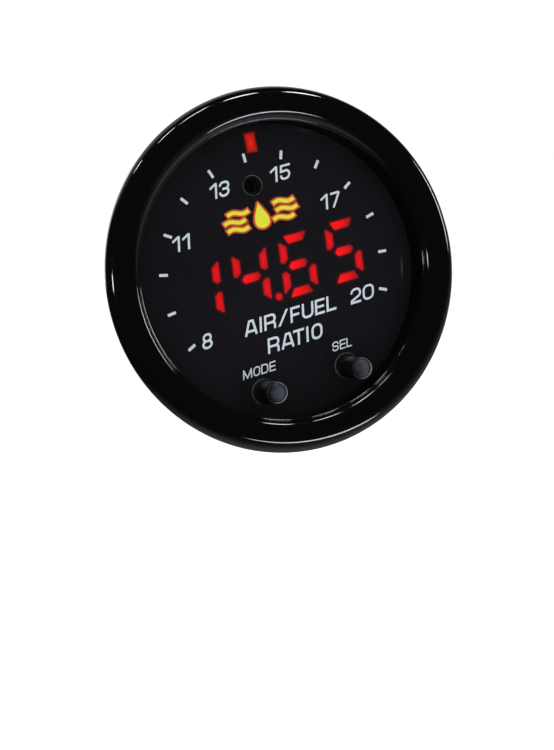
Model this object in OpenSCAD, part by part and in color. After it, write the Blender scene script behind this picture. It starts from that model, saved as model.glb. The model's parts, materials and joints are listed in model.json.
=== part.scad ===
// Slim round air fuel ratio gauge for a 52 mm dash or pod hole.
// Millimetres. Origin on the gauge axis in the seat plane, where the gasket meets the panel.
// The dial faces -Y, +Z is 12 o'clock and the cup runs back along +Y.
// Every module is drawn in dial coordinates: x right, y up, z towards the driver, z = 0 in the seat plane.

/* [Bezel] */
// Largest diameter of the bezel ring
bezel_d = 59.8; // [59.2:0.1:61]
// Height of the bezel crest above the seat plane
crest_z = 7.5; // [7.2:0.1:8.6]
// Clear opening at the foot of the bezel
aperture_d = 48.6; // [47.6:0.1:49.2]
// Edge radius on the outside of the crest
crest_r = 0.8; // [0.5:0.05:1.1]

/* [Dial] */
// Height of the dial face above the seat plane
face_z = 2.3; // [2.2:0.1:2.8]
// Radius of the row of sweep lights
sweep_r = 21.5; // [21.2:0.1:21.7]
// Angle between the scale's whole numbers
scale_step = 19.1177; // [18.5:0.01:19.5]
// Height of a display digit
digit_h = 10.16; // [9:0.01:10.4]
// Distance between the display digits
digit_pitch = 8.5; // [8:0.05:8.8]
// Lean of the digits, sideways per unit of height
digit_lean = 0.153; // [0:0.001:0.2]

/* [Cup and barrel] */
// Diameter of the cup that enters the panel hole
cup_d = 52; // [51.6:0.1:52.2]
// Depth of the cup behind the seat plane
cup_depth = 5.08; // [4.8:0.01:6]
// Diameter over the barrel thread
barrel_d = 45; // [44.8:0.1:46]
// Depth of the barrel behind the seat plane
barrel_depth = 13.46; // [13.3:0.01:15]
// Pitch of the barrel thread
thread_pitch = 1.5; // [1:0.1:2]

/* [Buttons] */
// Distance of each button from the centre line
button_x = 7.6; // [7:0.1:9]
// Height of the buttons below the dial centre
button_y = 18.6; // [17.5:0.1:18.8]
// Diameter of a button stem
button_d = 3.74; // [3:0.02:4]
// Radial clearance of a button stem in the dial
button_gap = 0.08; // [0.04:0.01:0.1]
// Height of a button tip above the dial face
button_out = 6.5; // [4.5:0.1:8]

/* [Connectors] */
// Width of one contact row pitch
contact_pitch = 3; // [2.5:0.1:3]
// How far the connector shells stand out behind the barrel
shell_out = 1; // [0.5:0.1:2]

/* [Hidden] */
$fn = 96;

bezel_r = bezel_d / 2;
cup_r = cup_d / 2;
barrel_r = barrel_d / 2;
// stack heights, front to back
overlay_t = 0.25;
lens_top = face_z - overlay_t;
lens_bottom = 0.7;
shoulder_z = 0.5;          // ledge that carries the lens gasket
film_bottom = 0.5;
mask_top = 0.5;
mask_bottom = -2.2;
dboard_top = -2.2;
dboard_bottom = -3.4;
mboard_top = -5.0;
mboard_bottom = -6.2;
rear_wall_t = 1.5;
rear_in = -barrel_depth + rear_wall_t;
// radii inside the housing
lens_r = 25.58;
pocket_r = 25.72;          // bore that takes lens, overlay and the bezel's inner wall
lip_r = 25.66;             // outside of the bezel's inner wall
wall_r = 27.6;             // outside of the wall inside the bezel
cup_in_r = 24.4;
barrel_in_r = 20.9;
boss_r = 26.6;
// screws
screw_ring_r = 17.2;
screw_angles = [30, 150, 270];
// connectors, [centre x, contacts in a row]
power_at = [-8.6, 4];
sensor_at = [8.5, 3];
shell_wall = 0.9;
shell_h = 10.2;
shell_end = -barrel_depth - shell_out;
pin_top = -4.5;
pin_end = -10.1;

module F() { rotate([90, 0, 0]) children(); }
module disc(r, z0, z1) { translate([0, 0, z0]) cylinder(r = r, h = z1 - z0); }
module ring(r0, r1, z0, z1) { difference() { disc(r1, z0, z1); disc(r0, z0 - 1, z1 + 1); } }
module block(x, y, z0, z1) { translate([-x / 2, -y / 2, z0]) cube([x, y, z1 - z0]); }
module at_screws() { for (a = screw_angles) rotate([0, 0, a]) translate([screw_ring_r, 0, 0]) children(); }
module at_buttons() { for (s = [-1, 1]) translate([s * button_x, -button_y, 0]) children(); }
function arc(c, r, a0, a1, n) = [for (i = [0:n]) let (a = a0 + (a1 - a0) * i / n) [c[0] + r * cos(a), c[1] + r * sin(a)]];

// ---- display geometry ----
digit_x = [for (i = [0:3]) (i - 1.5) * digit_pitch - 0.15];
k = digit_h / 10.16;
// one display segment as an outline about the digit centre, before the lean
function up_bar(s) = [[s * 3.1, 0.95], [s * 3.1, 4.05], [s * 2.9, 4.3], [s * 1.75, 3.35], [s * 1.75, 1.35], [s * 2.4, 0.72]];
function flip(p) = [for (q = p) [q[0], 0.16 - q[1]]];
SEGMENTS = [
    [[-2.1, 5.15], [2.1, 5.15], [1.3, 3.75], [-1.3, 3.75]],
    up_bar(1), flip(up_bar(1)),
    [[-2.1, -5.0], [2.1, -5.0], [1.3, -3.6], [-1.3, -3.6]],
    flip(up_bar(-1)), up_bar(-1),
    [[-1.75, 0.08], [-1.2, 0.78], [1.2, 0.78], [1.75, 0.08], [1.2, -0.62], [-1.2, -0.62]]];
CHIP_AT = [[0, 4.45, 0], [2.45, 2.5, 90], [2.45, -2.3, 90], [0, -4.3, 0], [-2.45, -2.3, 90], [-2.45, 2.5, 90], [0, 0.08, 0]];
function lean(p, cx) = [for (q = p) [cx + k * (q[0] + digit_lean * q[1]), k * q[1]]];
point_at = [-0.7, -4.2];
sweep_angles = [for (i = [0:23]) 90 + scale_step * (5.75 - i * 0.5)];

// ---- shells ----
module rear_housing() color([0.06, 0.06, 0.065]) F() difference() {
    union() {
        rotate_extrude() polygon(concat(
            [[0, rear_in], [0, -barrel_depth], [barrel_r - 0.6, -barrel_depth]],
            // thread ridges on the barrel
            [for (i = [0:4]) let (z = -barrel_depth + 0.45 + i * thread_pitch) each
                [[barrel_r - 0.6, z], [barrel_r, z + 0.35], [barrel_r, z + 0.75], [barrel_r - 0.6, z + 1.1]]],
            [[barrel_r - 0.6, -cup_depth], [cup_r, -cup_depth], [cup_r, 0], [boss_r, 0], [boss_r, 0.8],
             [wall_r, 0.8], [wall_r, 5.6], [pocket_r, 5.6], [pocket_r, shoulder_z], [cup_in_r, shoulder_z],
             [cup_in_r, dboard_bottom], [barrel_in_r, dboard_bottom], [barrel_in_r, rear_in]]));
        // posts that carry the boards
        at_screws() disc(2, rear_in - 0.2, mboard_bottom);
    }
    at_screws() disc(1.03, rear_in + 0.6, mboard_bottom + 1);
    // windows for the two connector shells, each with a notch for its latch
    for (c = [power_at, sensor_at]) translate([c[0], 0, 0]) {
        block(c[1] * contact_pitch + 4, shell_h + 0.4, -barrel_depth - 1, rear_in + 0.5);
        translate([0, shell_h / 2 + 0.4, 0]) block(4.6, 1.6, -barrel_depth - 1, rear_in + 0.5);
    }
    // moulded vent and gate marks
    translate([0, -13.5, 0]) disc(1.5, -barrel_depth - 1, -barrel_depth + 0.3);
    translate([0, 13.8, 0]) disc(2.2, -barrel_depth - 1, -barrel_depth + 0.25);
}
module seat_gasket() color([0.09, 0.09, 0.09]) F() ring(boss_r + 0.05, 27.8, 0, 0.8);
module bezel_ring() color([0.02, 0.02, 0.022]) F() rotate_extrude() polygon(concat(
    [[aperture_d / 2, face_z], [lip_r, face_z], [lip_r, 5.7], [27.65, 5.7], [27.65, 0.85], [28, 0.85]],
    arc([27.9, 1.15], 0.3, -50, -15, 3),
    [[bezel_r - 1.05, face_z], [bezel_r - 0.35, 4.9]],
    arc([bezel_r - crest_r, crest_z - crest_r], crest_r, -12, 90, 12),
    // the lip: a small round, a bevel, a small round, then the wall down to the dial
    arc([25.35, crest_z - 0.3], 0.3, 90, 120, 3),
    arc([aperture_d / 2 + 0.25, crest_z - 0.75], 0.25, 120, 180, 4)));
module face_overlay() color([0.035, 0.035, 0.04]) F() dial_sheet(lens_r, lens_top, face_z, 1.6);
module face_lens() color([0.05, 0.04, 0.045]) F() dial_sheet(lens_r, lens_bottom, lens_top, 1.2);
// a round sheet with the two button holes and the light sensor hole
module dial_sheet(r, z0, z1, eye_r) difference() {
    disc(r, z0, z1);
    at_buttons() disc(button_d / 2 + button_gap, z0 - 1, z1 + 1);
    translate([0.1, 14.6, 0]) disc(eye_r, z0 - 1, z1 + 1);
}
module lens_gasket() color([0.12, 0.12, 0.12]) F() ring(24.5, lens_r, shoulder_z, lens_bottom);

// ---- display ----
module diffuser_film() color([0.75, 0.75, 0.75]) F() difference() {
    disc(24.3, film_bottom, lens_bottom);
    at_buttons() disc(2.2, 0, 1);
    translate([0.1, 14.6, 0]) disc(1.4, 0, 1);
}
module light_mask() color([0.1, 0.1, 0.1]) F() difference() {
    disc(24.2, mask_bottom, mask_top);
    for (cx = digit_x, s = SEGMENTS) translate([0, 0, mask_bottom - 1]) linear_extrude(5) polygon(lean(s, cx));
    translate([point_at[0], point_at[1], 0]) disc(0.65, mask_bottom - 1, 2);
    for (a = sweep_angles) rotate([0, 0, a]) translate([sweep_r, 0, 0]) block(3.4, 2.1, mask_bottom - 1, 2);
    translate([0.1, 14.6, 0]) { disc(1.2, mask_bottom - 1, 2); block(3.6, 2.6, mask_bottom - 1, -0.9); }
    at_buttons() { disc(3, mask_bottom - 1, 2); block(5.4, 5.4, mask_bottom - 1, -0.5); }
    at_screws() disc(2.15, mask_bottom - 1, -0.7);
}
module display_board() color([0.05, 0.16, 0.1]) F() difference() {
    disc(24.2, dboard_bottom, dboard_top);
    at_screws() disc(1.1, -5, 0);
}
module digit_leds() color([0.85, 0.8, 0.75]) F() {
    for (cx = digit_x, c = CHIP_AT)
        translate([cx + k * (c[0] + digit_lean * c[1]), k * c[1], 0]) rotate([0, 0, c[2]]) led_chip(1.1, 0.7);
    translate([point_at[0], point_at[1], 0]) led_chip(0.8, 0.6);
}
module sweep_leds() color([0.85, 0.8, 0.75]) F()
    for (a = sweep_angles) rotate([0, 0, a]) translate([sweep_r, 0, 0]) rotate([0, 0, 90]) led_chip(1.5, 0.8);
// a surface-mount light: a base with a smaller clear block on it
module led_chip(x, y) { block(x, y, dboard_top, dboard_top + 0.35); block(x * 0.72, y * 0.9, dboard_top + 0.2, dboard_top + 0.7); }
module light_sensor() color([0.2, 0.08, 0.05]) F() translate([0.1, 14.6, 0]) {
    block(3.2, 2.2, dboard_top, dboard_top + 0.8);
    disc(0.9, dboard_top + 0.5, dboard_top + 1.2);
}

// ---- buttons and their switches ----
module button() {
    r = button_d / 2;
    tip = face_z + button_out;
    rotate_extrude() polygon([[0, -0.3], [2.6, -0.3], [2.6, 0.4], [r, 0.4], [r, tip - 0.25], [r - 0.25, tip],
        [r - 0.5, tip], [r - 0.62, tip - 0.3], [0, tip - 0.35]]);
}
module switch_case() difference() {
    block(5, 5, dboard_top, -0.8);
    disc(1.9, -1.9, 0);
    for (s = [-1, 1]) translate([s * 2.6, 0, 0]) block(0.6, 1.2, -3, -1.9);
}
module switch_cover() difference() { block(5, 5, -0.8, -0.65); disc(1.3, -2, 0); }
module switch_dome() rotate_extrude() polygon([[0, -1.52], [0.7, -1.56], [1.4, -1.74], [1.7, -1.9], [1.83, -1.9],
    [1.83, -1.82], [1.72, -1.8], [1.45, -1.64], [0.7, -1.46], [0, -1.42]]);
module switch_plunger() { disc(1.15, -1.1, -0.3); disc(1.6, -1.4, -1.05); }
module mode_button() color([0.03, 0.03, 0.035]) F() translate([-button_x, -button_y, 0]) button();
module mode_switch_case() color([0.08, 0.08, 0.08]) F() translate([-button_x, -button_y, 0]) switch_case();
module mode_switch_cover() color([0.7, 0.7, 0.7]) F() translate([-button_x, -button_y, 0]) switch_cover();
module mode_switch_dome() color([0.75, 0.72, 0.65]) F() translate([-button_x, -button_y, 0]) switch_dome();
module mode_switch_plunger() color([0.8, 0.78, 0.7]) F() translate([-button_x, -button_y, 0]) switch_plunger();
module select_button() color([0.03, 0.03, 0.035]) F() translate([button_x, -button_y, 0]) button();
module select_switch_case() color([0.08, 0.08, 0.08]) F() translate([button_x, -button_y, 0]) switch_case();
module select_switch_cover() color([0.7, 0.7, 0.7]) F() translate([button_x, -button_y, 0]) switch_cover();
module select_switch_dome() color([0.75, 0.72, 0.65]) F() translate([button_x, -button_y, 0]) switch_dome();
module select_switch_plunger() color([0.8, 0.78, 0.7]) F() translate([button_x, -button_y, 0]) switch_plunger();

// ---- board stack ----
module board_receptacle() color([0.85, 0.82, 0.7]) F() translate([0, 10, 0]) difference() {
    block(12, 3.4, -4.5, dboard_bottom);
    block(10.6, 2, -5, -3.7);
}
module board_plug() color([0.85, 0.82, 0.7]) F() translate([0, 10, 0]) {
    block(12, 3.4, mboard_top, -4.55);
    block(10.4, 1.8, -4.7, -3.8);
}
module board_spacers() color([0.8, 0.7, 0.4]) F() at_screws() ring(1.1, 2, mboard_top, dboard_bottom);
module board_screws() color([0.75, 0.75, 0.76]) F() at_screws() difference() {
    union() { disc(1, -10.6, dboard_top + 0.1); disc(1.9, dboard_top, dboard_top + 1.2); }
    for (a = [0, 90]) rotate([0, 0, a]) block(2.2, 0.5, dboard_top + 0.6, dboard_top + 2);
}
module main_board() color([0.05, 0.16, 0.1]) F() difference() {
    disc(20.6, mboard_bottom, mboard_top);
    at_screws() disc(1.1, -8, -3);
    for (c = [power_at, sensor_at]) at_contacts(c) disc(0.55, -8, -3);
}
// the two rows of contacts of one connector
module at_contacts(c) for (i = [0:c[1] - 1], s = [-1, 1])
    translate([c[0] + (i - (c[1] - 1) / 2) * contact_pitch, s * contact_pitch / 2, 0]) children();
// a leaded square package, hanging from the back of the main board
module chip(w, leads, t) {
    block(w, w, mboard_bottom - t, mboard_bottom - 0.1);
    for (a = [0:90:270], i = [0:leads - 1]) rotate([0, 0, a])
        translate([(i - (leads - 1) / 2) * 0.8, w / 2, 0]) block(0.35, 1.6, mboard_bottom - 0.3, mboard_bottom);
}
module processor_chip() color([0.07, 0.07, 0.075]) F() translate([-4.4, -10.9, 0]) chip(6.6, 7, 1.2);
module sensor_driver_chip() color([0.07, 0.07, 0.075]) F() translate([6.2, -10.6, 0]) chip(5.6, 6, 1.2);
module regulator_chip() color([0.07, 0.07, 0.075]) F() translate([-10.7, 11.4, 0]) {
    block(3.2, 5.4, mboard_bottom - 1.6, mboard_bottom - 0.1);
    for (x = [-1, 0, 1]) translate([x, -3.1, 0]) block(0.6, 1.6, mboard_bottom - 0.4, mboard_bottom);
    translate([0, 3.1, 0]) block(2.6, 1.4, mboard_bottom - 0.4, mboard_bottom);
}
module power_inductor() color([0.2, 0.2, 0.21]) F() translate([-4.4, 11.6, 0]) {
    difference() { block(6.8, 6.8, mboard_bottom - 3, mboard_bottom); for (a = [45:90:315]) rotate([0, 0, a]) translate([4.9, 0, 0]) block(2, 6, -12, 0); }
}
module filter_capacitors() color([0.7, 0.7, 0.72]) F() for (p = [[3.9, 12], [9.3, 11.2]]) translate([p[0], p[1], 0]) {
    block(5.1, 5.1, mboard_bottom - 0.7, mboard_bottom);
    disc(2.45, mboard_bottom - 4.6, mboard_bottom - 0.5);
}
module chip_resistors() color([0.1, 0.1, 0.1]) F() for (p = [[-11.4, -9.4], [-11.4, -11.2], [-9.8, -13.4], [12.2, -8.6], [12.2, -10.4], [11.2, -12.4], [1, -7.4], [1, -9.2], [-3, 17.4], [0.4, 17.4]])
    translate([p[0], p[1], 0]) block(1.6, 0.8, mboard_bottom - 0.5, mboard_bottom);

// ---- connectors ----
module connector(c) difference() {
    union() {
        translate([c[0], 0, 0]) block(c[1] * contact_pitch + 3.6, shell_h, shell_end, mboard_bottom);
        // latch catch on the shell
        translate([c[0], shell_h / 2 + 0.3, 0]) block(4, 1.2, shell_end + 0.4, shell_end + 2.2);
    }
    translate([c[0], 0, 0]) block(c[1] * contact_pitch + 3.6 - 2 * shell_wall, shell_h - 2 * shell_wall, shell_end - 1, mboard_bottom - 0.8);
    // keying slot
    translate([c[0] - c[1] * contact_pitch / 2, -shell_h / 2, 0]) block(1.5, 3, shell_end - 1, -11);
    at_contacts(c) block(0.74, 0.74, mboard_bottom - 2, mboard_bottom + 1);
}
module pins(c) at_contacts(c) { block(0.64, 0.64, pin_end + 0.3, pin_top); block(0.4, 0.4, pin_end, pin_end + 0.4); }
module power_connector() color([0.05, 0.05, 0.055]) F() connector(power_at);
module power_pins() color([0.85, 0.7, 0.35]) F() pins(power_at);
module sensor_connector() color([0.3, 0.3, 0.32]) F() connector(sensor_at);
module sensor_pins() color([0.85, 0.7, 0.35]) F() pins(sensor_at);

rear_housing();
seat_gasket();
bezel_ring();
face_overlay();
face_lens();
lens_gasket();
diffuser_film();
light_mask();
display_board();
digit_leds();
sweep_leds();
light_sensor();
mode_button();
mode_switch_case();
mode_switch_cover();
mode_switch_dome();
mode_switch_plunger();
select_button();
select_switch_case();
select_switch_cover();
select_switch_dome();
select_switch_plunger();
board_receptacle();
board_plug();
board_spacers();
board_screws();
main_board();
processor_chip();
sensor_driver_chip();
regulator_chip();
power_inductor();
filter_capacitors();
chip_resistors();
power_connector();
power_pins();
sensor_connector();
sensor_pins();
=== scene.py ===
import json
import math

import bmesh
import bpy
from mathutils import Matrix, Quaternion, Vector
from mathutils.geometry import delaunay_2d_cdt


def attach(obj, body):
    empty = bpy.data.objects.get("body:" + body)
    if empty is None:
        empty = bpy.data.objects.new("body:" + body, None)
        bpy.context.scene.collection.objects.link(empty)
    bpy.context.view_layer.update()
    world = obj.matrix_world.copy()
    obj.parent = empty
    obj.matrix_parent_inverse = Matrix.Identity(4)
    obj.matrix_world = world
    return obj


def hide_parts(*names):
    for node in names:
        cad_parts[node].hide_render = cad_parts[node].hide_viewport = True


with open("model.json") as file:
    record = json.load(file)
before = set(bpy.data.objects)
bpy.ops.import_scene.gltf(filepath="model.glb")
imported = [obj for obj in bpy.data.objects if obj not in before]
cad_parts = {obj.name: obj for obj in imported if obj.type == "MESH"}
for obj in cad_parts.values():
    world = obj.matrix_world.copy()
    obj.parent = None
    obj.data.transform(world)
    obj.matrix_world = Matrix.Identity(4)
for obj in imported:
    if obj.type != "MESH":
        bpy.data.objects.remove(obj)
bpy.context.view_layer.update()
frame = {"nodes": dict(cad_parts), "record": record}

MM = 0.001
FACE = 2.3  # height of the dial face above the seat plane, mm
CREST = 7.5
BEZEL_R = 29.9
APERTURE_R = 24.3
STEP = 19.1177  # degrees between the scale's whole numbers
BUTTONS = {"mode": (-7.6, -18.6), "select": (7.6, -18.6)}
SENSOR = (0.1, 14.6)


# ---------------------------------------------------------------- camera
def make_camera():
    data = bpy.data.cameras.new("camera")
    cam = bpy.data.objects.new("camera", data)
    bpy.context.scene.collection.objects.link(cam)
    right = Vector((0.90764, -0.32046, -0.27108))
    up = Vector((0.28839, 0.00684, 0.95749))
    forward = Vector((0.30498, 0.94724, -0.09862))
    m = Matrix.Identity(4)
    for i, column in enumerate((right, up, -forward)):
        for j in range(3):
            m[j][i] = column[j]
    m.translation = Vector((-0.091313, -0.268806 - FACE * MM, 0.011469))
    cam.matrix_world = m
    data.sensor_width = 36
    data.lens = 82.32
    data.clip_start, data.clip_end = 0.01, 20
    bpy.context.scene.camera = cam


# ---------------------------------------------------------------- mesh helpers
def to_object(name, bm, body, material, angle=35, replaces=()):
    """Turns a bmesh in metres into a piece that rides on a body."""
    mesh = bpy.data.meshes.new(name)
    bm.to_mesh(mesh)
    bm.free()
    for p in mesh.polygons:
        p.use_smooth = True
    mesh.set_sharp_from_angle(angle=math.radians(angle))
    mesh.materials.append(material)
    o = bpy.data.objects.new(name, mesh)
    bpy.context.scene.collection.objects.link(o)
    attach(o, body)
    if replaces:
        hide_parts(*replaces)
    return o


def place(x, y, z):
    """Dial coordinates in mm (x right, y up, z towards the driver) to the row frame in metres."""
    return (x * MM, -z * MM, y * MM)


def lathe(bm, profile, cx=0.0, cy=0.0, n=256):
    """A closed solid of revolution about the dial's axis direction. profile is (radius, z) in mm."""
    loops = []
    for r, z in profile:
        if r < 1e-6:
            loops.append([bm.verts.new(place(cx, cy, z))])
        else:
            loops.append([bm.verts.new(place(cx + r * math.cos(2 * math.pi * i / n), cy + r * math.sin(2 * math.pi * i / n), z)) for i in range(n)])
    closed = profile[0][0] > 1e-6
    made = []
    for a, b in zip(loops, loops[1:] + (loops[:1] if closed else [])):
        for i in range(n):
            j = (i + 1) % n
            if len(a) == 1 and len(b) == 1:
                break
            if len(a) == 1:
                made.append(bm.faces.new((a[0], b[i], b[j])))
            elif len(b) == 1:
                made.append(bm.faces.new((a[i], a[j], b[0])))
            else:
                made.append(bm.faces.new((a[i], a[j], b[j], b[i])))
    bmesh.ops.recalc_face_normals(bm, faces=made)
    return made


def rounded(points, closed=False, n=6):
    """A polyline with its corners rounded. points are (x, y, corner radius)."""
    out, count = [], len(points)
    for i, (x, y, r) in enumerate(points):
        if r <= 0 or (not closed and i in (0, count - 1)):
            out.append((x, y))
            continue
        p = Vector((x, y))
        a = (Vector(points[i - 1][:2]) - p).normalized()
        b = (Vector(points[(i + 1) % count][:2]) - p).normalized()
        half = a.angle(b) / 2
        cut = r / math.tan(half)
        centre = p + (a + b).normalized() * (r / math.sin(half))
        s, e = p + a * cut - centre, p + b * cut - centre
        turn = math.atan2(s.x * e.y - s.y * e.x, s.dot(e))
        for k in range(n + 1):
            t = turn * k / n
            out.append((centre.x + s.x * math.cos(t) - s.y * math.sin(t), centre.y + s.x * math.sin(t) + s.y * math.cos(t)))
    return out


def ribbon(points, width, closed=False):
    """Convex pieces, in 2-D, whose union is a pen line of that width with mitred corners and square ends."""
    pts = [Vector(p) for p in points]
    n, h, out = len(pts), width / 2, []
    last = n if closed else n - 1
    for i in range(last):
        a, b = pts[i], pts[(i + 1) % n]
        d = (b - a).normalized()
        off = Vector((-d.y, d.x)) * h
        out.append([a - off, b - off, b + off, a + off])
    for i in range(n if closed else 0 if n < 3 else n):
        if not closed and i in (0, n - 1):
            continue
        before, after = (pts[i] - pts[i - 1]).normalized(), (pts[(i + 1) % n] - pts[i]).normalized()
        turn = before.x * after.y - before.y * after.x
        if abs(turn) < 1e-4:
            continue
        sign = -1 if turn > 0 else 1
        oa, ob = Vector((-before.y, before.x)) * h * sign, Vector((-after.y, after.x)) * h * sign
        mid = oa + ob
        tip = mid * (h * h / max(mid.length_squared / 2, 0.32 * h * h))
        out.append([pts[i], pts[i] + oa, pts[i] + tip, pts[i] + ob])
    return out


def union(polygons):
    """Triangles that cover the union of 2-D polygons, as (points, faces)."""
    verts, faces = [], []
    for poly in polygons:
        area = sum(poly[i - 1][0] * poly[i][1] - poly[i][0] * poly[i - 1][1] for i in range(len(poly)))
        start = len(verts)
        verts += [Vector((p[0], p[1])) for p in (poly if area > 0 else poly[::-1])]
        faces.append(list(range(start, len(verts))))
    v, _, f, _, _, of = delaunay_2d_cdt(verts, [], faces, 1, 1e-6, True)
    return v, [list(t) for t, src in zip(f, of) if src]


def plate(bm, points, faces, z0, z1):
    """A closed thin plate over 2-D triangles, from z0 to z1 mm."""
    top = [bm.verts.new(place(p[0], p[1], z1)) for p in points]
    low = [bm.verts.new(place(p[0], p[1], z0)) for p in points]
    edges, made = {}, []
    for t in faces:
        made.append(bm.faces.new([top[i] for i in t]))
        made.append(bm.faces.new([low[i] for i in reversed(t)]))
        for a, b in zip(t, t[1:] + t[:1]):
            edges[(a, b)] = edges.get((a, b), 0) + 1
    for a, b in edges:
        if (b, a) not in edges:
            made.append(bm.faces.new((top[a], low[a], low[b], top[b])))
    for v in [*top, *low]:
        if not v.link_faces:
            bm.verts.remove(v)
    bmesh.ops.recalc_face_normals(bm, faces=made)


# ---------------------------------------------------------------- materials
def tree(name):
    m = bpy.data.materials.new(name)
    m.use_nodes = True
    nt = m.node_tree
    nt.nodes.clear()
    out = nt.nodes.new("ShaderNodeOutputMaterial")
    bsdf = nt.nodes.new("ShaderNodeBsdfPrincipled")
    nt.links.new(bsdf.outputs[0], out.inputs[0])
    coord = nt.nodes.new("ShaderNodeTexCoord")
    return m, nt, bsdf, coord.outputs["Object"]


def noise(nt, vector, scale, detail=4.0, rough=0.55, stretch=None):
    if stretch:
        mp = nt.nodes.new("ShaderNodeMapping")
        mp.inputs["Scale"].default_value = stretch
        nt.links.new(vector, mp.inputs["Vector"])
        vector = mp.outputs[0]
    n = nt.nodes.new("ShaderNodeTexNoise")
    n.inputs["Scale"].default_value = scale
    n.inputs["Detail"].default_value = detail
    n.inputs["Roughness"].default_value = rough
    nt.links.new(vector, n.inputs["Vector"])
    return n.outputs["Fac"]


def ramp(nt, fac, stops):
    r = nt.nodes.new("ShaderNodeValToRGB")
    e = r.color_ramp.elements
    while len(e) < len(stops):
        e.new(0.5)
    for x, (pos, colour) in zip(e, stops):
        x.position = pos
        x.color = (*colour, 1) if len(colour) == 3 else colour
    nt.links.new(fac, r.inputs[0])
    return r.outputs[0]


def spread(nt, fac, lo, hi, low=0.3, high=0.7):
    m = nt.nodes.new("ShaderNodeMapRange")
    m.inputs["From Min"].default_value = low
    m.inputs["From Max"].default_value = high
    m.inputs["To Min"].default_value = lo
    m.inputs["To Max"].default_value = hi
    nt.links.new(fac, m.inputs["Value"])
    return m.outputs[0]


def bump(nt, bsdf, height, strength, distance, normal=None):
    b = nt.nodes.new("ShaderNodeBump")
    b.inputs["Strength"].default_value = strength
    b.inputs["Distance"].default_value = distance
    nt.links.new(height, b.inputs["Height"])
    if normal is not None:
        nt.links.new(normal, b.inputs["Normal"])
    nt.links.new(b.outputs[0], bsdf.inputs["Normal"])
    return b.outputs[0]


def plain(name, colour, rough, vary=0.25, scale=260, rough_vary=0.08, grain=9000, depth=0.000006, strength=0.35, metallic=0.0, specks=None, stretch=None):
    """Moulded or rolled stock: blotchy tone, uneven gloss and a fine surface grain."""
    m, nt, bsdf, vec = tree(name)
    broad = noise(nt, vec, scale, 5, 0.6, stretch)
    lo = tuple(c * (1 - vary) for c in colour)
    hi = tuple(min(c * (1 + vary), 1) for c in colour)
    nt.links.new(ramp(nt, broad, [(0.3, lo), (0.7, hi)]), bsdf.inputs["Base Color"])
    nt.links.new(spread(nt, noise(nt, vec, scale * 3.1, 6, 0.65, stretch), max(rough - rough_vary, 0.02), rough + rough_vary), bsdf.inputs["Roughness"])
    bsdf.inputs["Metallic"].default_value = metallic
    bump(nt, bsdf, noise(nt, vec, grain, 3, 0.5, stretch), strength, depth)
    return m


def painted_light(name, dark, pale, rough, scale, blotch=0.22, stops=(0.2, 0.5, 0.85)):
    """Black plastic in a dark and a pale tone, mixed by a stored attribute of painted light and shade: pale on the lit
    side of each spot, dark on its shaded side, broken up by a blotchy noise.
    """
    m, nt, bsdf, vec = tree(name)
    at = nt.nodes.new("ShaderNodeAttribute")
    at.attribute_name = "painted_light"
    add = nt.nodes.new("ShaderNodeMath")
    add.operation = "ADD"
    nt.links.new(at.outputs["Fac"], add.inputs[0])
    nt.links.new(spread(nt, noise(nt, vec, scale, 3, 0.5), -blotch, blotch), add.inputs[1])
    mid = tuple(a + 0.35 * (b - a) for a, b in zip(dark, pale))
    nt.links.new(ramp(nt, add.outputs[0], [*zip(stops, (dark, mid, pale))]), bsdf.inputs["Base Color"])
    nt.links.new(spread(nt, noise(nt, vec, scale * 3, 4, 0.6), rough - 0.06, rough + 0.06), bsdf.inputs["Roughness"])
    bump(nt, bsdf, noise(nt, vec, 2600, 3), 0.3, 0.00001)
    return m


def gloss_black(name, colour, rough, dust=0.5):
    """Piano black: clean gloss with faint hairlines, specks of dust and a trace of orange peel."""
    m, nt, bsdf, vec = tree(name)
    v = nt.nodes.new("ShaderNodeTexVoronoi")
    v.inputs["Scale"].default_value = 330
    nt.links.new(vec, v.inputs["Vector"])
    speck = spread(nt, v.outputs["Distance"], 1.0, 0.0, 0.02, 0.045)
    patch = spread(nt, noise(nt, vec, 210, 3), 0.0, 1.0, 0.56, 0.66)
    both = nt.nodes.new("ShaderNodeMath")
    both.operation = "MULTIPLY"
    nt.links.new(speck, both.inputs[0])
    nt.links.new(patch, both.inputs[1])
    light = tuple(c + 0.05 * dust for c in colour)
    nt.links.new(ramp(nt, both.outputs[0], [(0.0, colour), (1.0, light)]), bsdf.inputs["Base Color"])
    hair = noise(nt, vec, 130, 8, 0.75, (1, 1, 9))
    nt.links.new(spread(nt, hair, rough, rough + 0.05, 0.45, 0.75), bsdf.inputs["Roughness"])
    bsdf.inputs["Specular IOR Level"].default_value = 0.5
    bump(nt, bsdf, noise(nt, vec, 260, 2), 0.03, 0.00001)
    return m


def dial_black(name):
    """Hard-coated near-black sheet, a little blue, with a soft gloss that blurs what it mirrors."""
    m, nt, bsdf, vec = tree(name)
    cloud = noise(nt, vec, 55, 3, 0.5)
    nt.links.new(ramp(nt, cloud, [(0.35, (0.0062, 0.0060, 0.0078)), (0.65, (0.0078, 0.0074, 0.0096))]), bsdf.inputs["Base Color"])
    nt.links.new(spread(nt, noise(nt, vec, 700, 5, 0.6), 0.08, 0.12), bsdf.inputs["Roughness"])
    bsdf.inputs["Specular IOR Level"].default_value = 0.3
    bump(nt, bsdf, noise(nt, vec, 2600, 3), 0.06, 0.000004)
    return m


def ink(name, colour):
    """Screen-printed ink: dense, with a fine mesh in its tone and a satin skin."""
    m, nt, bsdf, vec = tree(name)
    lo = tuple(c * 0.9 for c in colour)
    nt.links.new(ramp(nt, noise(nt, vec, 2400, 3), [(0.35, lo), (0.65, colour)]), bsdf.inputs["Base Color"])
    nt.links.new(spread(nt, noise(nt, vec, 3000, 2), 0.45, 0.6), bsdf.inputs["Roughness"])
    bump(nt, bsdf, noise(nt, vec, 7000, 2), 0.15, 0.000003)
    return m


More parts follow.
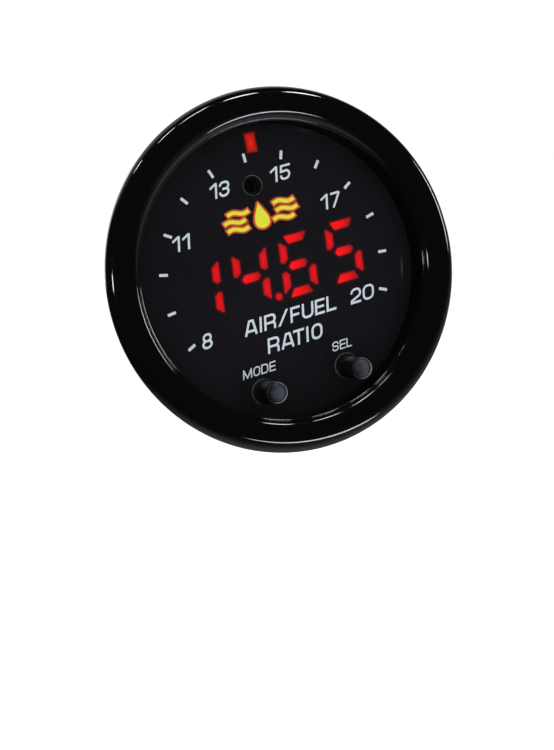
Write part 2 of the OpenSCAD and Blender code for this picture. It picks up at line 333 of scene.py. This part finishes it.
def lit(name, stops):
    """Light from a display shaft seen through the smoked sheet. The glow attribute fades it out at its edge, and the
    side attribute is across the shaft: on the horizontal segments it is a painted falloff, brighter at the left end and
    dimmer at the right, for how deep the view reaches into the shaft.
    """
    m, nt, bsdf, vec = tree(name)
    glow = nt.nodes.new("ShaderNodeAttribute")
    glow.attribute_name = "glow"
    side = nt.nodes.new("ShaderNodeAttribute")
    side.attribute_name = "side"
    nt.links.new(ramp(nt, noise(nt, vec, 55, 3, 0.5), [(0.35, (0.0062, 0.0060, 0.0078)), (0.65, (0.0078, 0.0074, 0.0096))]), bsdf.inputs["Base Color"])
    nt.links.new(spread(nt, noise(nt, vec, 700, 5, 0.6), 0.08, 0.12), bsdf.inputs["Roughness"])
    bsdf.inputs["Specular IOR Level"].default_value = 0.3
    nt.links.new(ramp(nt, side.outputs["Fac"], stops), bsdf.inputs["Emission Color"])
    nt.links.new(ramp(nt, glow.outputs["Fac"], [(0.0, (0, 0, 0)), (0.3, (0.025, 0.025, 0.025)), (0.55, (0.16, 0.16, 0.16)), (1.0, (1, 1, 1))]), bsdf.inputs["Emission Strength"])
    return m


M = {
    "housing": plain("housing_plastic", (0.016, 0.016, 0.0175), 0.42, 0.2, 150, 0.06, 5200, 0.00003, 0.4),
    "gasket": plain("gasket_foam", (0.03, 0.03, 0.03), 0.85, 0.35, 900, 0.08, 3600, 0.00006, 0.8),
    "bezel": gloss_black("bezel_black", (0.0010, 0.0010, 0.0010), 0.04),
    "dial": dial_black("dial_black"),
    "lens": plain("lens_smoked", (0.006, 0.0042, 0.0044), 0.12, 0.2, 200, 0.04, 3000, 0.000004, 0.1),
    "diffuser": plain("diffuser_film", (0.7, 0.7, 0.7), 0.55, 0.08, 600, 0.1, 8000, 0.000004),
    "mask": plain("mask_plastic", (0.03, 0.03, 0.03), 0.6, 0.2, 300),
    "circuit_board": plain("circuit_board_green", (0.012, 0.09, 0.042), 0.32, 0.25, 500, 0.08, 1600, 0.00001, 0.3),
    "led": plain("led_resin", (0.8, 0.76, 0.62), 0.25, 0.1, 900),
    "sensor": plain("sensor_resin", (0.012, 0.008, 0.008), 0.15, 0.3, 600),
    "button": gloss_black("button_black", (0.0026, 0.0026, 0.0030), 0.30, 0.3),
    "switch_case": plain("switch_case_nylon", (0.04, 0.04, 0.04), 0.5),
    "plunger": plain("plunger_nylon", (0.7, 0.68, 0.6), 0.45, 0.08),
    "board_connector": plain("board_connector_nylon", (0.75, 0.7, 0.58), 0.45, 0.08),
    "steel": plain("steel_rolled", (0.6, 0.6, 0.6), 0.3, 0.12, 1500, 0.1, 9000, 0.000004, 0.3, 1.0, stretch=(1, 1, 6)),
    "brass": plain("brass_plated", (0.78, 0.58, 0.27), 0.28, 0.12, 1500, 0.1, 9000, 0.000004, 0.3, 1.0),
    "chip": plain("chip_epoxy", (0.025, 0.025, 0.027), 0.55, 0.2, 900),
    "ferrite": plain("ferrite_pressed", (0.12, 0.12, 0.125), 0.6, 0.25, 1200),
    "capacitor": plain("capacitor_can", (0.7, 0.7, 0.72), 0.3, 0.08, 700, 0.08, 5000, 0.000004, 0.3, 1.0),
    "connector_black": plain("connector_nylon_black", (0.022, 0.022, 0.024), 0.42, 0.2, 400, 0.08, 6000, 0.00001, 0.4),
    "connector_grey": plain("connector_nylon_grey", (0.20, 0.20, 0.215), 0.42, 0.12, 400, 0.08, 6000, 0.00001, 0.4),
}
# button end: its pale blue-grey patches are painted reflections, and it is painted darker on its left as shade in the
# recess
BUTTON_END = painted_light("button_end", (0.003, 0.003, 0.005), (0.046, 0.053, 0.072), 0.3, 430, 0.34, (0.12, 0.3, 0.75))
# button rim: its pale arcs are a painted highlight, painted darker on its left side
BUTTON_RIM = painted_light("button_rim_painted_highlight", (0.002, 0.002, 0.002), (0.15, 0.15, 0.155), 0.25, 700, 0.3, (0.2, 0.5, 0.9))
# cut edge of the sheet: pale grey as its own tone, painted darker on the shaded side of each button hole
CUT_EDGE = painted_light("sheet_cut_edge", (0.002, 0.002, 0.002), (0.055, 0.055, 0.055), 0.4, 800)
# cut edge round the sensor hole: light grey, partly its own tone and partly a painted highlight round the hole
FINE_EDGE = plain("sheet_fine_edge", (0.10, 0.10, 0.105), 0.4, 0.7, 800)
INK_WHITE = ink("ink_white", (0.545, 0.62, 0.69))
INK_YELLOW = ink("ink_yellow", (0.70, 0.70, 0.012))
INK_RED = ink("ink_red", (0.52, 0.045, 0.006))
LIT_RED = lit("display_light_red", [(0.0, (0.26, 0.002, 0.003)), (0.35, (0.58, 0.002, 0.003)), (0.6, (0.80, 0.002, 0.003)), (1.0, (1.0, 0.004, 0.005))])
LIT_BAR = lit("sweep_light_red", [(0.0, (0.30, 0.005, 0.002)), (1.0, (0.80, 0.013, 0.003))])

for row in frame["record"]["subparts"]:
    node = frame["nodes"][row["node"]]
    node.data.materials.clear()
    node.data.materials.append(M[row["material_slot"]])
    for p in node.data.polygons:
        p.material_index = 0


# ---------------------------------------------------------------- bezel
def bezel_profile():
    out = [(APERTURE_R, FACE), (25.66, FACE), (25.66, 5.7), (27.65, 5.7), (27.65, 0.85), (28.0, 0.85)]
    # skirt: a small round at its foot, then a slope out to the side
    out += [(27.92 + 0.3 * math.cos(math.radians(a)), 1.16 + 0.3 * math.sin(math.radians(a))) for a in (-48, -36, -24, -14)]
    out += [(28.62, FACE), (29.12, 3.7), (29.52, 5.0), (29.7, 5.7)]
    # outer edge and crown, from the inside out: each pair is a radius and how far the surface leans outwards there, in degrees
    lean = [(27.3, 0), (28.6, 8), (28.95, 13), (29.1, 19), (29.3, 28), (29.5, 38), (29.7, 51), (29.83, 66), (29.885, 80), (BEZEL_R, 87)]
    z, crown = CREST, []
    for (ra, ta), (rb, tb) in zip(lean, lean[1:]):
        steps = max(4, math.ceil((rb - ra) / 0.05)) if ra > 28 else 10
        for k in range(steps):
            t = math.radians(ta + (tb - ta) * (k + 0.5) / steps)
            z -= (rb - ra) / steps * math.tan(t)
            crown.append((ra + (rb - ra) * (k + 1) / steps, z))
    out += [(29.84, z - 0.22), (29.88, z - 0.1), *crown[::-1], (27.3, CREST)]
    # lip: a soft edge, a shallow roll, a steep bevel, a narrow ledge, then the wall down to the dial.
    # each pair is a radius and how far the surface leans inwards there, in degrees
    lean = [(26.1, 0), (25.92, 11.5), (25.5, 14.5), (25.26, 17), (25.08, 23), (25.0, 31), (24.67, 33), (24.63, 13), (24.55, 12), (24.37, 27), (24.32, 50), (APERTURE_R + 0.003, 82)]
    z = CREST
    out.append((26.1, z))
    for (ra, ta), (rb, tb) in zip(lean, lean[1:]):
        steps = max(3, math.ceil((ra - rb) / 0.05))
        for k in range(steps):
            t = math.radians(ta + (tb - ta) * (k + 0.5) / steps)
            z -= (ra - rb) / steps * math.tan(t)
            out.append((ra + (rb - ra) * (k + 1) / steps, z))
    out += [(APERTURE_R, 6.0), (APERTURE_R, 4.0)]
    return out


bm = bmesh.new()
lathe(bm, bezel_profile(), n=360)
to_object("bezel_ring_shell", bm, "gauge_body", M["bezel"], 30, ["bezel_ring"])


# ---------------------------------------------------------------- dial sheet
def dial_sheet():
    bm = bmesh.new()
    top, low = FACE, FACE - 0.25

    def ring(cx, cy, r, z, n):
        return [bm.verts.new(place(cx + r * math.cos(2 * math.pi * i / n), cy + r * math.sin(2 * math.pi * i / n), z)) for i in range(n)]

    def join(a, b):
        for i in range(len(a)):
            j = (i + 1) % len(a)
            bm.faces.new((a[i], a[j], b[j], b[i]))

    holes = [(*BUTTONS["mode"], 1.95, 0.32), (*BUTTONS["select"], 1.95, 0.32), (*SENSOR, 1.6, 0.09)]
    tops, lows = [ring(0, 0, 25.5, top, 192)], [ring(0, 0, 25.58, low, 192)]
    rim = ring(0, 0, 25.58, top - 0.08, 192)
    join(tops[0], rim)
    join(rim, lows[0])
    for cx, cy, r, edge in holes:
        # a broken edge round each hole, wide where a button runs
        a, b, c, d = ring(cx, cy, r + edge, top, 72), ring(cx, cy, r + 0.02, top - 0.04, 72), ring(cx, cy, r, top - 0.1, 72), ring(cx, cy, r, low, 72)
        join(a, b)
        join(b, c)
        join(c, d)
        tops.append(a)
        lows.append(d)
    for loops in (tops, lows):
        edges = [bm.edges.get((l[i], l[(i + 1) % len(l)])) for l in loops for i in range(len(l))]
        bmesh.ops.triangle_fill(bm, edges=edges, use_beauty=True, normal=(0, -1, 0))
    bmesh.ops.recalc_face_normals(bm, faces=bm.faces[:])
    o = to_object("dial_sheet", bm, "gauge_body", M["dial"], 25, ["face_overlay"])
    o.data.materials.append(CUT_EDGE)
    o.data.materials.append(FINE_EDGE)
    for p in o.data.polygons:
        for cx, cy, r, edge in holes:
            if -p.center.y > (FACE - 0.04) * MM and math.hypot(p.center.x - cx * MM, p.center.z - cy * MM) < (r + edge) * MM:
                p.material_index = 1 if edge > 0.2 else 2
    # the cut edge round each button hole is painted light on its upper left and painted shadow on its lower right,
    # under the stem
    paint_lit_side(o, [(cx, cy, r + edge) for cx, cy, r, edge in holes[:2]], (-0.77, 0.64))
    return o


def paint_lit_side(o, spots, towards):
    """Stores painted light and shade for each point, from 0 to 1: lightest on the side of each round spot that faces
    towards, darkest on the far side.
    """
    layer = o.data.attributes.new("painted_light", "FLOAT", "POINT")
    for i, v in enumerate(o.data.vertices):
        value = 0.5
        for cx, cy, r in spots:
            dx, dy = v.co.x / MM - cx, v.co.z / MM - cy
            if math.hypot(dx, dy) < r + 0.01:
                value = min(max(0.5 + 0.5 * (dx * towards[0] + dy * towards[1]) / r, 0), 1)
        layer.data[i].value = value


dial_sheet()


# ---------------------------------------------------------------- buttons
def button(which, body, node, droop=0.0):
    cx, cy = BUTTONS[which]
    r, tip = 1.87, FACE + 6.5
    outline = [(0, -0.3, 0), (2.6, -0.3, 0.08), (2.6, 0.4, 0.12), (r, 0.4, 0.12), (r, 0.72, 0), (r, tip, 0.17), (r - 0.22, tip, 0.05), (r - 0.32, tip - 0.14, 0.04), (r - 0.46, tip - 0.3, 0.06), (1.1, tip - 0.36, 0), (0.55, tip - 0.39, 0), (0, tip - 0.4, 0)]
    bm = bmesh.new()
    lathe(bm, rounded(outline, n=6), cx, cy, 128)
    # a loose fit: the stem may hang a little in its hole, while its flange stays square
    def sag(z):
        return math.tan(math.radians(droop)) * (z - 1.6) * min(max((z - 0.4) / 0.3, 0), 1)

    for v in bm.verts:
        v.co.z -= sag(-v.co.y / MM) * MM
    o = to_object(which + "_button_key", bm, body, M["button"], 40, [node])
    o.data.materials.append(BUTTON_END)
    o.data.materials.append(BUTTON_RIM)
    low = cy - sag(tip)
    for p in o.data.polygons:
        c, away = p.center, math.hypot(p.center.x - cx * MM, p.center.z - low * MM)
        if -c.y > (tip - 0.46) * MM and p.normal.y < -0.1 and away < (r - 0.46) * MM:
            p.material_index = 1
        elif -c.y > (tip - 0.16) * MM and p.normal.y < -0.3 and (r - 0.33) * MM < away < (r - 0.14) * MM:
            p.material_index = 2
    # painted light and shade on the end and rim: lighter towards the right, painted shade on the left
    paint_lit_side(o, [(cx, low, r + 0.1)], (0.9, -0.2))
    return o


button("mode", "mode_key", "mode_button")
button("select", "select_key", "select_button", 3.3)


# ---------------------------------------------------------------- lettering
def glyph(c, w, h, t):
    """Pen strokes of one character in a box w by h: a list of (points, closed)."""
    x0, x1, y0, y1, m = t / 2, w - t / 2, t / 2, h - t / 2, h * 0.5
    r = min(0.24 * h, (x1 - x0) * 0.42)
    s = r * 0.9

    def run(*pts, closed=False):
        return rounded(pts, closed), closed

    if c == "I":
        return [run((w / 2, 0, 0), (w / 2, h, 0))]
    if c == "L":
        return [run((x0, h, 0), (x0, y0, 0), (w, y0, 0))]
    if c == "E":
        return [run((w, y1, 0), (x0, y1, 0), (x0, y0, 0), (w, y0, 0)), run((x0, m, 0), (w * 0.93, m, 0))]
    if c == "F":
        return [run((w, y1, 0), (x0, y1, 0), (x0, 0, 0)), run((x0, m - 0.03 * h, 0), (w * 0.93, m - 0.03 * h, 0))]
    if c == "T":
        return [run((0, y1, 0), (w, y1, 0)), run((w / 2, y1, 0), (w / 2, 0, 0))]
    if c == "U":
        return [run((x0, h, 0), (x0, y0, r * 1.1), (x1, y0, r * 1.1), (x1, h, 0))]
    if c in "O0":
        return [run((x0, y0, r * 1.2), (x1, y0, r * 1.2), (x1, y1, r * 1.2), (x0, y1, r * 1.2), closed=True)]
    if c == "D":
        return [run((x0, y0, 0), (x1, y0, r * 1.2), (x1, y1, r * 1.2), (x0, y1, 0), closed=True)]
    if c == "A":
        a = w * 0.36
        k = t * 0.52
        return [run((k, 0, 0), (a, y1, 0.02), (w - a, y1, 0.02), (w - k, 0, 0)), run((w * 0.2, 0.27 * h, 0), (w * 0.8, 0.27 * h, 0))]
    if c == "R":
        return [run((x0, 0, 0), (x0, y1, 0), (x1, y1, r), (x1, m - 0.06 * h, r), (x0, m - 0.06 * h, 0)), run((x1 - r * 1.4, m - 0.06 * h, 0), (x1 - 0.01, m - 0.06 * h, r * 0.8), (x1 - 0.01, 0, 0))]
    if c == "M":
        return [run((x0, 0, 0), (x0 + 0.02, y1, 0), (w / 2, 0.1 * h, 0), (x1 - 0.02, y1, 0), (x1, 0, 0))]
    if c == "S":
        return [run((x1, y1 - 0.26 * h, 0), (x1, y1, s), (x0, y1, s), (x0, m, s), (x1, m, s), (x1, y0, s), (x0, y0, s), (x0, y0 + 0.26 * h, 0))]
    if c == "1":
        return [run((0, h * 0.70, 0), (x1, h * 0.97, 0)), run((x1, 0, 0), (x1, h, 0))]
    if c == "2":
        return [run((x0, h * 0.66, 0), (x0, y1, r), (x1, y1, r), (x1, h * 0.5, r * 0.9), (x0, h * 0.2, 0.1), (x0, y0, 0), (w, y0, 0))]
    if c == "3":
        return [run((x0, h * 0.72, 0), (x0, y1, s), (x1, y1, s), (x1, m + 0.02, s * 0.9), (w * 0.32, m + 0.02, 0)), run((w * 0.32, m + 0.02, 0), (x1, m + 0.02, s * 0.9), (x1, y0, r * 1.1), (x0, y0, r), (x0, h * 0.3, 0))]
    if c == "5":
        return [run((w, y1, 0), (x0 + 0.05, y1, 0), (x0, m + 0.06 * h, 0), (x1, m + 0.1 * h, r), (x1, y0, r * 1.1), (x0, y0, r), (x0, h * 0.28, 0))]
    if c == "7":
        return [run((0, y1, 0), (x1, y1, 0.12), (w * 0.3, 0, 0))]
    if c == "8":
        g = 0.06 * w
        return [run((x0 + g, m, s), (x1 - g, m, s), (x1 - g, y1, s), (x0 + g, y1, s), closed=True), run((x0, y0, r), (x1, y0, r), (x1, m, s), (x0, m, s), closed=True)]
    raise ValueError(c)


def letters(row, y, h, t, slant=0.25):
    """2-D polygons of upright characters in a row, leaned. row is (character, left x at the foot, width)."""
    polygons = []
    for c, x, w in row:
        if c == "/":
            quads = [[(0, 0), (t * 1.12, 0), (w, h), (w - t * 1.12, h)]]
        else:
            quads = [q for pts, closed in glyph(c, w, h, t) for q in ribbon(pts, t, closed)]
        for q in quads:
            polygons.append([(x + px + slant * py, y + py) for px, py in q])
    return polygons


WORDS = [
    ([("A", -8.33, 2.35), ("I", -5.66, 0.5), ("R", -4.78, 2.12), ("/", -2.28, 1.88), ("F", 0.0, 1.72), ("U", 2.12, 2.1), ("E", 4.52, 1.78), ("L", 6.64, 1.8)], -8.98, 2.48, 0.385),
    ([("R", -5.26, 2.12), ("A", -2.8, 2.38), ("T", -0.62, 2.02), ("I", 1.74, 0.5), ("O", 2.74, 2.02)], -12.8, 2.5, 0.385),
    ([("M", -10.62, 1.62), ("O", -8.76, 1.24), ("D", -7.34, 1.28), ("E", -5.84, 1.12)], -15.66, 1.54, 0.215),
    ([("S", 5.72, 1.18), ("E", 7.12, 1.1), ("L", 8.36, 1.0)], -15.66, 1.54, 0.215),
]
NUMBERS = [
    ([("8", -15.9, 1.84)], -9.0, 2.48, 0.365),
    ([("1", -16.2, 1.3), ("1", -14.45, 1.3)], 7.44, 2.48, 0.38),
    ([("1", -7.66, 1.3), ("3", -6.02, 1.86)], 14.08, 2.48, 0.365),
    ([("1", 3.2, 1.3), ("5", 4.96, 1.86)], 14.08, 2.48, 0.365),
    ([("1", 10.5, 1.3), ("7", 12.28, 1.8)], 7.44, 2.48, 0.365),
    ([("2", 11.15, 1.95), ("0", 13.42, 2.1)], -9.0, 2.48, 0.365),
]
PRINT = 0.02


def printed(name, polygons, material, z0=0.0, z1=PRINT):
    bm = bmesh.new()
    pts, faces = union(polygons)
    plate(bm, pts, faces, FACE + z0, FACE + z1)
    return to_object(name, bm, "gauge_body", material, 30)


printed("words_print", [q for w in WORDS for q in letters(*w)], INK_WHITE)
printed("numbers_print", [q for w in NUMBERS for q in letters(*w)], INK_WHITE)
ticks = []
for i in range(13):
    a = math.radians(90 + STEP * (6 - i))
    c, s = math.cos(a), math.sin(a)
    corners = rounded([(18.53, -0.235, 0.06), (19.99, -0.235, 0.06), (19.99, 0.235, 0.06), (18.53, 0.235, 0.06)], True, 3)
    ticks.append([(u * c - v * s, u * s + v * c) for u, v in corners])
printed("scale_ticks_print", ticks, INK_WHITE)


# ---------------------------------------------------------------- emblem: a fuel drop between two breaths of air
def drop(cx, cy, w, h, n=64):
    pts = []
    for i in range(n):
        t = 2 * math.pi * i / n
        pts.append((cx + w * math.sin(t) * math.sin(t / 2) ** 1.6, cy + h * math.cos(t) * 0.5))
    return pts


def wave(x0, x1, y, amp, turns, n=40):
    return [(x0 + (x1 - x0) * i / n, y + amp * math.sin(2 * math.pi * turns * i / n)) for i in range(n + 1)]


emblem_y, fill = 9.55, []
fill.append(("poly", drop(0.1, emblem_y, 1.85, 4.3)))
for s in (-1, 1):
    for dy, x0, x1 in ((1.3, 2.2, 6.0), (0.0, 2.75, 6.6), (-1.3, 2.2, 6.0)):
        fill.append(("line", [(0.1 + s * x + 0.25 * dy, yy) for x, yy in wave(x0, x1, emblem_y + dy, 0.24 * s, 1.0)]))
yellow, red = [], []
for kind, pts in fill:
    if kind == "poly":
        yellow.append(pts)
        red += [pts, *ribbon(pts, 0.66, True)]
    else:
        yellow += ribbon(pts, 0.62)
        ends = [Vector(pts[0]), Vector(pts[-1])]
        grown = [tuple(ends[0] + (ends[0] - Vector(pts[1])).normalized() * 0.26), *pts[1:-1], tuple(ends[1] + (ends[1] - Vector(pts[-2])).normalized() * 0.26)]
        red += ribbon(grown, 1.2)
printed("emblem_outline_print", red, INK_RED)
printed("emblem_print", yellow, INK_YELLOW, PRINT, 2 * PRINT)


# ---------------------------------------------------------------- lit shafts of the display
def up_bar(s):
    return [(s * 3.1, 0.95), (s * 3.1, 4.05), (s * 2.9, 4.3), (s * 1.75, 3.35), (s * 1.75, 1.35), (s * 2.4, 0.72)]


def flip(p):
    return [(x, 0.16 - y) for x, y in p]


SEGMENTS = {
    "a": [(-2.1, 5.15), (2.1, 5.15), (1.3, 3.75), (-1.3, 3.75)],
    "b": up_bar(1),
    "c": flip(up_bar(1)),
    "d": [(-2.1, -5.0), (2.1, -5.0), (1.3, -3.6), (-1.3, -3.6)],
    "e": flip(up_bar(-1)),
    "f": up_bar(-1),
    "g": [(-1.75, 0.08), (-1.2, 0.78), (1.2, 0.78), (1.75, 0.08), (1.2, -0.62), (-1.2, -0.62)],
}
SHOWN = ["bc", "fgbc", "afgecd", "afgcd"]


def ccw(p):
    return p if sum(p[i - 1][0] * p[i][1] - p[i][0] * p[i - 1][1] for i in range(len(p))) > 0 else p[::-1]


def grow(loop, d):
    """The loop moved outwards by d."""
    n, out = len(loop), []
    for i in range(n):
        p = Vector(loop[i])
        a = (p - Vector(loop[i - 1])).normalized()
        b = (Vector(loop[(i + 1) % n]) - p).normalized()
        t = (a + b).normalized()
        k = max(0.6, abs(t.dot(a)))
        out.append((p.x + t.y * d / k, p.y - t.x * d / k))
    return out


def light_patch(name, loops, material, halo=0.5):
    """One thin sheet per lit shaft, with its edge fading into the dial."""
    bm = bmesh.new()
    glow = bm.verts.layers.float.new("glow")
    side = bm.verts.layers.float.new("side")
    z = FACE + 0.012
    for loop, across in loops:
        lo, hi = min(p[0] for p in loop), max(p[0] for p in loop)
        rings = [(grow(loop, -0.19), 1.0), (grow(loop, -0.08), 0.86), (grow(loop, 0.04), 0.52), (grow(loop, 0.17), 0.26), (grow(loop, halo), 0.0)]
        made = []
        for pts, g in rings:
            vs = []
            for x, y in pts:
                v = bm.verts.new(place(x, y, z if g > 0 else FACE + 0.002))
                v[glow] = g
                # painted falloff: horizontal segments brighter at their left end and dimmer to the right, for the view
                # into the shaft
                v[side] = 1 - min(max((x - lo) / (hi - lo), 0), 1) if across else 0.06 if material is LIT_BAR else 0.3
                vs.append(v)
            made.append(vs)
        heart = bm.verts.new(place(sum(p[0] for p in rings[0][0]) / len(loop), sum(p[1] for p in rings[0][0]) / len(loop), z))
        heart[glow], heart[side] = 1.0, 0.72 if across else 1.0 if material is LIT_BAR else 0.62
        for i in range(len(loop)):
            bm.faces.new((heart, made[0][i], made[0][(i + 1) % len(loop)]))
        for a, b in zip(made, made[1:]):
            for i in range(len(a)):
                j = (i + 1) % len(a)
                bm.faces.new((a[i], b[i], b[j], a[j]))
        low = [bm.verts.new((v.co.x, -FACE * MM, v.co.z)) for v in made[-1]]
        for i in range(len(low)):
            j = (i + 1) % len(low)
            bm.faces.new((made[-1][i], low[i], low[j], made[-1][j]))
        bm.faces.new(low[::-1])
    bmesh.ops.recalc_face_normals(bm, faces=bm.faces[:])
    return to_object(name, bm, "gauge_body", material, 60)


lit_loops = []
for i, on in enumerate(SHOWN):
    cx = (i - 1.5) * 8.5 - 0.15
    for s in on:
        shape = [(cx + x + 0.153 * y, y) for x, y in ccw(SEGMENTS[s])]
        lit_loops.append((rounded([(x, y, 0.2) for x, y in shape], True, 5), s in "adg"))
dot = [(-0.7 + 0.65 * math.cos(2 * math.pi * i / 32), -4.2 + 0.65 * math.sin(2 * math.pi * i / 32)) for i in range(32)]
lit_loops.append((dot, False))
light_patch("digit_lights", lit_loops, LIT_RED)
a = math.radians(90 - STEP * 0.25)
c, s = math.cos(a), math.sin(a)
bar = [((21.5 + u) * c - v * s, (21.5 + u) * s + v * c) for u, v in rounded([(-1.62, -0.93, 0.14), (1.62, -0.93, 0.14), (1.62, 0.93, 0.14), (-1.62, 0.93, 0.14)], True, 4)]
light_patch("sweep_light", [(ccw(bar), False)], LIT_BAR)


# ---------------------------------------------------------------- floor, light and world
def area(name, direction, distance, size, power, colour=(1, 1, 1), roll=0, shape="RECTANGLE"):
    data = bpy.data.lights.new(name, "AREA")
    data.shape = shape
    data.size, data.size_y = size
    data.energy = power
    data.color = colour
    o = bpy.data.objects.new(name, data)
    bpy.context.scene.collection.objects.link(o)
    d = Vector(direction).normalized()
    o.location = d * distance
    o.rotation_mode = "QUATERNION"
    o.rotation_quaternion = d.to_track_quat("Z", "Y") @ Quaternion((0, 0, 1), math.radians(roll))
    o.visible_camera = False
    return o


def seen_at(turn, off):
    """Direction to the light that the flat of the dial would mirror if it were turned: turn is round the dial, off is away from its mirror direction, in degrees."""
    az, el = math.radians(19 + off * math.cos(math.radians(turn))), math.radians(-1 + off * math.sin(math.radians(turn)))
    return (math.sin(az) * math.cos(el), -math.cos(az) * math.cos(el), math.sin(el))


def room():
    scene = bpy.context.scene
    scene.view_settings.view_transform = "Standard"
    scene.view_settings.look = "None"
    world = bpy.data.worlds.new("studio")
    scene.world = world
    world.use_nodes = True
    nt = world.node_tree
    nt.nodes.clear()
    out = nt.nodes.new("ShaderNodeOutputWorld")
    mix = nt.nodes.new("ShaderNodeMixShader")
    path = nt.nodes.new("ShaderNodeLightPath")
    seen, felt = nt.nodes.new("ShaderNodeBackground"), nt.nodes.new("ShaderNodeBackground")
    seen.inputs[0].default_value = (1, 1, 1, 1)
    seen.inputs[1].default_value = 1.12
    # what gloss mirrors: dark in front and to the upper left, pale behind at the top, grey on the ground and on the right
    coord = nt.nodes.new("ShaderNodeTexCoord")

    def towards(axis, low, high, a, b):
        dot = nt.nodes.new("ShaderNodeVectorMath")
        dot.operation = "DOT_PRODUCT"
        dot.inputs[1].default_value = axis
        nt.links.new(coord.outputs["Generated"], dot.inputs[0])
        return spread(nt, dot.outputs["Value"], a, b, low, high)

    def combine(operation, a, b):
        m = nt.nodes.new("ShaderNodeMath")
        m.operation = operation
        nt.links.new(a, m.inputs[0])
        nt.links.new(b, m.inputs[1])
        return m.outputs[0]

    back = towards((0.326, -0.945, -0.017), 0.38, -0.10, 0.0, 1.0)
    top = combine("MULTIPLY", towards((0.35, 0.0, 0.94), 0.30, 0.95, 0.0, 1.0), back)
    right = combine("MULTIPLY", towards((0.95, 0.0, -0.30), 0.20, 0.90, 0.0, 0.26), back)
    ground = towards((0.20, 0.10, -0.97), 0.25, 0.80, 0.010, 0.42)
    whole = combine("MAXIMUM", combine("MAXIMUM", top, right), ground)
    nt.links.new(ramp(nt, whole, [(0.0, (0.01, 0.01, 0.011)), (1.0, (1.5, 1.5, 1.53))]), felt.inputs[0])
    nt.links.new(path.outputs["Is Glossy Ray"], mix.inputs[0])
    nt.links.new(seen.outputs[0], mix.inputs[1])
    nt.links.new(felt.outputs[0], mix.inputs[2])
    nt.links.new(mix.outputs[0], out.inputs[0])

    # small lamps that the bezel mirrors
    catchers = bpy.data.collections.new("lamp_catchers")
    catchers.objects.link(bpy.data.objects["bezel_ring_shell"])
    lamps = [(4, 41, 0.065, 0.23, 36), (61, 29, 0.09, 0.040, 34), (85, 28, 0.075, 0.038, 34), (104, 33, 0.08, 0.042, 36), (117, 41, 0.07, 0.045, 40), (136, 70, 0.08, 0.045, 36), (171, 33, 0.05, 0.040, 30)]
    for i, (turn, off, across, high, radiance) in enumerate(lamps):
        lamp = area(f"lamp_{i}", seen_at(turn, off), 0.7, (across, high), radiance * math.pi ** 2 / 4 * across * high, shape="ELLIPSE")
        lamp.light_linking.receiver_collection = catchers
    strip = area("front_strip", seen_at(270, 20.5), 0.7, (0.225, 0.020), 20 * math.pi ** 2 / 4 * 0.225 * 0.020, (0.80, 0.88, 1.0), -20, "ELLIPSE")
    strip.light_linking.receiver_collection = catchers
    # broad soft light for the print, the back and the sides
    for name, d, size, power in [("back_left", (-1.0, 1.2, 0.9), (0.7, 0.7), 5), ("back_right", (1.2, 1.0, 0.5), (0.7, 0.7), 4)]:
        area(name, d, 0.9, size, power)

    mesh = bpy.data.meshes.new("floor")
    bm = bmesh.new()
    n, half_size = 48, 6.0
    grid = [[bm.verts.new((half_size * (2 * i / n - 1), half_size * (2 * j / n - 1), -0.12)) for j in range(n + 1)] for i in range(n + 1)]
    for i in range(n):
        for j in range(n):
            bm.faces.new((grid[i][j], grid[i + 1][j], grid[i + 1][j + 1], grid[i][j + 1]))
    bm.to_mesh(mesh)
    bm.free()
    m, fnt, bsdf, vec = tree("floor_pale")
    fnt.links.new(ramp(fnt, noise(fnt, vec, 6, 3), [(0.3, (0.93, 0.93, 0.93)), (0.7, (0.95, 0.95, 0.95))]), bsdf.inputs["Base Color"])
    bsdf.inputs["Roughness"].default_value = 0.9
    mesh.materials.append(m)
    floor = bpy.data.objects.new("floor", mesh)
    scene.collection.objects.link(floor)
    floor.visible_glossy = False
    return floor


make_camera()
room()
